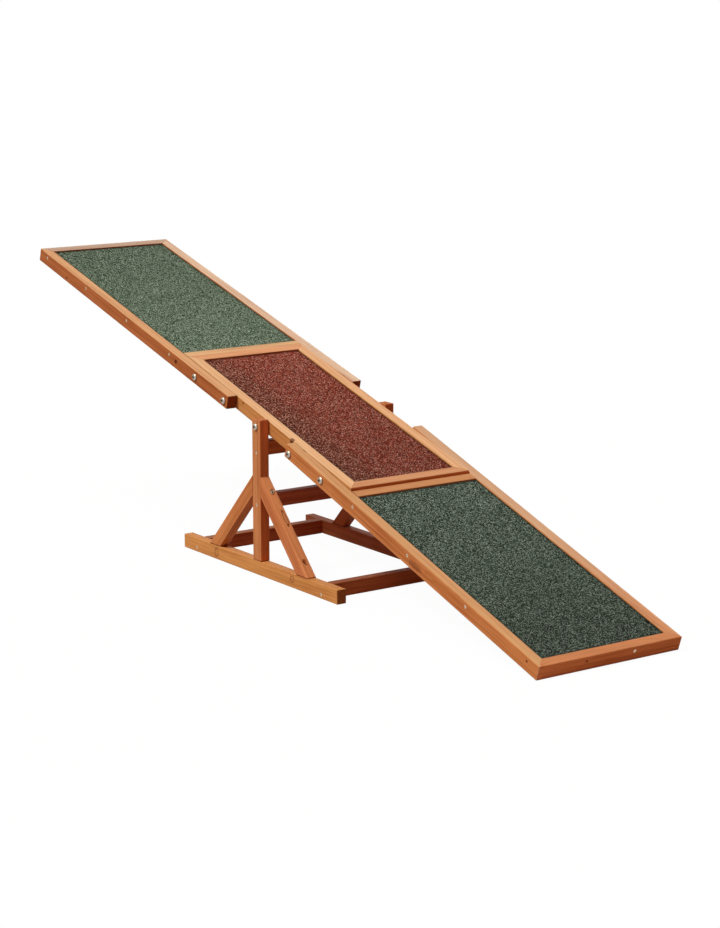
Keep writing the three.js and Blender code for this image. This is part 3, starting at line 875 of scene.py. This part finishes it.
def panel(name, at, start, end, width, seed, look):
    """A board between the rails from start to end, with its grit sheet."""
    length = end - start - 2 * PANEL_PLAY
    width = width - 2 * PANEL_PLAY
    centre = (start + end) / 2
    sheet_top = DECK_RAIL[1] / 2 - SHEET_RECESS
    board_top = sheet_top - SHEET_THICKNESS - SEAT_GAP
    board_at = at @ shift(centre, 0, board_top - BOARD_THICKNESS / 2)
    sheet_at = at @ shift(centre, 0, sheet_top - SHEET_THICKNESS / 2)

    board, board_size = f"{name}_board", (length, width, BOARD_THICKNESS)
    bm = bmesh.new()
    bmesh.ops.create_cube(bm, size=1)
    bmesh.ops.scale(bm, vec=board_size, verts=bm.verts)
    bmesh.ops.bevel(bm, geom=list(bm.edges), offset=BOARD_EASE, segments=1, affect="EDGES")
    board_look = wood(f"{board}_wood", board_size, seed, BOARD_TONE, BOARD_TONE, end_shade=0.3)
    add_piece(board, mesh_from(bm, board), board_at, "deck", board_look, [board])

    sheet = f"{name}_grit_sheet"
    mesh = grit_mesh(sheet, length, width, seed)
    sheet_look = grit(f"{name}_grit", (length, width, SHEET_THICKNESS), seed, look)
    add_piece(sheet, mesh, sheet_at, "deck", sheet_look, [sheet])


# Bolts and screws

BOLT_RADIUS = 3
BOLT_LENGTH = 35
BOLT_HEAD_RADIUS = 6.5
BOLT_RIM_HEIGHT = 0.9
BOLT_DOME_RISE = 3.5
BOLT_DOME_STEPS = 9
BOLT_RECESS_RADIUS = 5.5
SCREW_SHANK_RADIUS = 1.6
SCREW_LENGTH = 3
RECESS_TAPER_SHARE = 0.55
RECESS_SKIN = 0.12


def lathe(profile, segments):
    """A closed solid turned about Z from (radius, height) pairs, drawn from the axis to the axis."""
    bm = bmesh.new()
    points = [bm.verts.new((radius, 0, height)) for radius, height in profile]
    line = [bm.edges.new(pair) for pair in zip(points, points[1:])]
    bmesh.ops.spin(bm, geom=points + line, angle=2 * math.pi, steps=segments, axis=(0, 0, 1),
                   cent=(0, 0, 0), use_merge=True, use_duplicate=False)
    bmesh.ops.remove_doubles(bm, verts=bm.verts, dist=1e-4)
    return bm


def cross_recess(span, width, depth, top):
    """The cutter of a cross recess in a head whose top is at that height, narrower towards its bottom."""
    bm = bmesh.new()
    for angle in (0, math.pi / 2):
        arm = shift(0, 0, top) @ turn("Z", angle) @ Matrix.Diagonal((span, width, 2 * depth, 1))
        made = bmesh.ops.create_cube(bm, size=1, matrix=arm)
        for vert in made["verts"]:
            if vert.co.z < top:
                vert.co.x *= RECESS_TAPER_SHARE
                vert.co.y *= RECESS_TAPER_SHARE
    return bm


def mark_recess_shade(mesh, radius, depth, skin):
    """Marks the faces of the recess for painted shade: those within the radius and the depth, under the skin.
    """
    recess_shade = mesh.attributes.new("recess_shade", "FLOAT", "FACE")
    for face, mark in zip(mesh.polygons, recess_shade.data):
        x, y, z = face.center / MM
        across = math.hypot(x, y)
        mark.value = float(across < radius and z > -depth and z < skin(across) - RECESS_SKIN)
    return mesh


def bolt_mesh():
    """A bolt with a domed head, head at +Z, its seat at the origin."""
    top = BOLT_RIM_HEIGHT + BOLT_DOME_RISE

    def dome(across):
        return BOLT_RIM_HEIGHT + BOLT_DOME_RISE * math.sqrt(1 - (across / BOLT_HEAD_RADIUS) ** 2)

    profile = [
        (0, -BOLT_LENGTH), (BOLT_RADIUS - 0.4, -BOLT_LENGTH), (BOLT_RADIUS, 0.6 - BOLT_LENGTH),
        (BOLT_RADIUS, 0), (BOLT_HEAD_RADIUS - 0.3, 0), (BOLT_HEAD_RADIUS, 0.3),
    ]
    for step in range(BOLT_DOME_STEPS):
        angle = math.pi / 2 * step / BOLT_DOME_STEPS
        height = BOLT_RIM_HEIGHT + BOLT_DOME_RISE * math.sin(angle)
        profile.append((BOLT_HEAD_RADIUS * math.cos(angle), height))
    mesh = mesh_from(lathe(profile + [(0, top)], 32), "bolt")
    mesh = carve(mesh, cross_recess(9.0, 3.6, 3, top))
    return mark_recess_shade(mesh, BOLT_RECESS_RADIUS, 0, dome)


def screw_mesh(radius):
    """A countersunk screw head at the origin, facing +Z."""
    profile = [
        (0, -SCREW_LENGTH), (SCREW_SHANK_RADIUS - 0.2, -SCREW_LENGTH), (SCREW_SHANK_RADIUS, -2.1),
        (radius - 0.15, -0.25), (radius, -0.1), (radius - 0.25, 0), (SCREW_SHANK_RADIUS, 0.12), (0, 0.15),
    ]
    mesh = mesh_from(lathe(profile, 24), "screw")
    mesh = carve(mesh, cross_recess(1.2 * radius, 0.42 * radius, 1.2, 0.1))
    return mark_recess_shade(mesh, 0.7 * radius, 1.5, lambda across: 0)


def bolts():
    """The bolts of the arms and of the pivot, each turned a little differently."""
    places = {}
    for end, end_sign in (("high", -1), ("low", 1)):
        for side, sign in SIDES:
            for place, distance in zip(("inner", "outer"), ARM_BOLTS):
                seat = DECK_WIDTH / 2 + SEAT_GAP
                places[f"arm_bolt_{end}_{side}_{place}"] = (end_sign * distance, sign, seat)
    for side, sign in SIDES:
        places[f"pivot_bolt_{side}"] = (0, sign, POST_INNER_FACE + BAR[0] + SEAT_GAP)
    model = bolt_mesh()
    dice = random.Random(7)
    for name, (x, sign, seat) in places.items():
        at = DECK @ shift(x, sign * seat, 0) @ turn("X", -sign * math.pi / 2)
        at = at @ turn("Z", dice.uniform(0.1, 0.45))
        add_piece(name, model.copy(), at, "deck", BOLT_STEEL, [name])


def screws():
    """The heads of the wood screws, gathered into one piece for the deck and two for the stand."""
    dice = random.Random(11)
    for place, heads in screw_heads.items():
        model = screw_mesh(BRACE_SCREW_RADIUS if place == "braces" else SCREW_RADIUS)
        body = "deck" if place == "deck" else "stand"
        bm = bmesh.new()
        for at in heads:
            before = len(bm.verts)
            bm.from_mesh(model)
            bm.verts.ensure_lookup_table()
            spun = in_metres(at @ turn("Z", dice.uniform(0, math.pi / 2)))
            bmesh.ops.transform(bm, matrix=spun, verts=bm.verts[before:])
        mesh = bpy.data.meshes.new(f"{place}_screws")
        bm.to_mesh(mesh)
        bm.free()
        add_piece(f"{place}_screws", mesh, ROW, body, SCREW_STEEL)


def keep_metal_nodes():
    """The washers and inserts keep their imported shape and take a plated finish."""
    for name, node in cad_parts.items():
        if "_washer_" in name or "_insert_" in name:
            node.data.materials.clear()
            node.data.materials.append(BOLT_STEEL if "_washer_" in name else INSERT_ZINC)


# The two green sheets are one felt; the upper one's paler tones are painted light of its more grazing view
LOW_GREEN = {
    "Base": srgb(67, 83, 69), "Patch": srgb(58, 68, 56), "Deep": srgb(3, 6, 4),
    "Margin": srgb(16, 10, 6), "Pale": srgb(170, 182, 168), "Pale Share": 0.22,
    "Front Patching": 0.12, "Far Shade": 0.4,
}
HIGH_GREEN = {
    "Base": srgb(94, 114, 91), "Patch": srgb(86, 100, 79), "Deep": srgb(14, 24, 15),
    "Margin": srgb(34, 26, 15), "Pale": srgb(188, 203, 183), "Pale Share": 0.22,
    "Front Patching": 0.15, "Far Shade": 0.2,
}
RED = {
    "Base": srgb(146, 58, 39), "Patch": srgb(96, 54, 35), "Deep": srgb(40, 8, 3),
    "Margin": srgb(38, 16, 8), "Pale": srgb(222, 162, 144), "Pale Share": 0.18,
    "Front Patching": 0.7, "Far Shade": 0.25,
}


def panels():
    inner_width = DECK_WIDTH - 2 * DECK_RAIL[0]
    start = MIDDLE_HALF_LENGTH + CROSS_RAIL_THICKNESS - JOINT
    end = DECK_HALF_LENGTH - DECK_RAIL[0] - JOINT
    panel("low_section", LOW, start + SECTION_GAPS["low"], end, inner_width, 81, LOW_GREEN)
    panel("high_section", HIGH, start + SECTION_GAPS["high"], end, inner_width, 82, HIGH_GREEN)
    reach = MIDDLE_HALF_LENGTH - DECK_RAIL[0]
    panel("middle", DECK, -reach, reach, 2 * (MIDDLE_HALF_WIDTH - DECK_RAIL[0]), 83, RED)


outer_section("low", LOW, 11)
outer_section("high", HIGH, 21)
middle_section(31)
side_frame("front", -1, 51)
side_frame("back", 1, 61)
cross_rails(71)
panels()
bolts()
screws()
keep_metal_nodes()


# Camera, floor and light

# The photograph's view, fitted to it: angles in degrees, lengths in millimetres, focal length in pixels
VIEW_AZIMUTH = 54.976
VIEW_ELEVATION = 11.9
VIEW_ROLL = -0.045
VIEW_DISTANCE = 4475.23
VIEW_RIGHT = 66.48
VIEW_UP = 185.67
FOCAL_PIXELS = 2386.1
PICTURE_HEIGHT_PIXELS = 928
SENSOR = 36


def set_camera():
    azimuth, elevation, roll = map(math.radians, (VIEW_AZIMUTH, VIEW_ELEVATION, VIEW_ROLL))
    level = Vector((math.cos(azimuth), math.sin(azimuth), 0))
    toward = Vector((math.sin(azimuth), -math.cos(azimuth), 0))
    back = toward * math.cos(elevation) + Vector((0, 0, math.sin(elevation)))
    upright = back.cross(level)
    right = level * math.cos(roll) + upright * math.sin(roll)
    up = upright * math.cos(roll) - level * math.sin(roll)
    at = Matrix((right, up, back)).transposed().to_4x4()
    at.translation = back * VIEW_DISTANCE + right * VIEW_RIGHT + up * VIEW_UP
    camera = add_object("camera", bpy.data.cameras.new("camera"))
    camera.matrix_world = in_metres(at)
    camera.data.sensor_width = SENSOR
    camera.data.lens = FOCAL_PIXELS * SENSOR / PICTURE_HEIGHT_PIXELS
    camera.data.clip_end = 400
    bpy.context.scene.camera = camera


def seen_directly(n):
    """1 for what the camera sees, straight or in a reflection."""
    path = n.add("LightPath").outputs
    direct = n.math("MAXIMUM", path["Is Camera Ray"], path["Is Glossy Ray"])
    return n.math("MAXIMUM", direct, path["Is Transmission Ray"])


def set_world(ambient):
    """White where the camera sees it; ambient is the colour of the light that it sends to the object."""
    world = bpy.data.worlds.new("studio")
    world.use_nodes = True
    n = Nodes(world.node_tree)
    background = n.tree.nodes["Background"]
    n.feed(background.inputs["Color"], n.mix(seen_directly(n), ambient + (1,), WHITE))
    background.inputs["Strength"].default_value = 1
    bpy.context.scene.world = world


def set_floor(bounce, glow):
    """A white floor that keeps a faint shadow; bounce is the colour of the light that it sends back."""
    # In metres
    reach, drop = 150, 0.0005
    mesh = bpy.data.meshes.new("floor")
    corners = [(-reach, -reach, 0), (reach, -reach, 0), (reach, reach, 0), (-reach, reach, 0)]
    mesh.from_pydata(corners, [], [(0, 1, 2, 3)])
    floor = add_object("floor", mesh)
    floor.location.z = -drop
    material = bpy.data.materials.new("floor_white")
    material.use_nodes = True
    n = Nodes(material.node_tree)
    n.tree.nodes.remove(n.tree.nodes["Principled BSDF"])
    seen = seen_directly(n)
    matt = n.add("BsdfDiffuse", n.mix(seen, bounce + (1,), WHITE))
    white = n.add("Emission", WHITE, 1.0)
    away = n.vector("LENGTH", n.add("NewGeometry").outputs["Position"])
    share = n.math("MULTIPLY", seen, n.ramp(away, 1.0, 2.5, glow, 1.0))
    both = n.add("MixShader", share, matt.outputs[0], white.outputs[0])
    n.feed(n.tree.nodes["Material Output"].inputs["Surface"], both.outputs[0])
    mesh.materials.append(material)


def add_lamp(name, toward, strength, softness):
    """A soft sun, a little cool against the warm bounce; a strength of 1 makes a white face white."""
    data = bpy.data.lights.new(name, "SUN")
    data.energy = strength * math.pi
    data.color = (0.89, 1.0, 0.975)
    data.angle = math.radians(softness)
    lamp = add_object(name, data)
    lamp.rotation_mode = "QUATERNION"
    lamp.rotation_quaternion = Vector(toward).to_track_quat("Z", "Y")


set_camera()
set_world(ambient=(0.205, 0.075, 0.055))
set_floor(bounce=(0.34, 0.25, 0.18), glow=0.97)
add_lamp("overhead", toward=(0, -0.2, 0.98), strength=0.25, softness=40)
add_lamp("front", toward=(-0.08, -0.6, 0.8), strength=0.79, softness=15)
add_lamp("back", toward=(-0.5, 0.85, 0.15), strength=0.4, softness=30)

bpy.context.scene.view_settings.view_transform = "Standard"
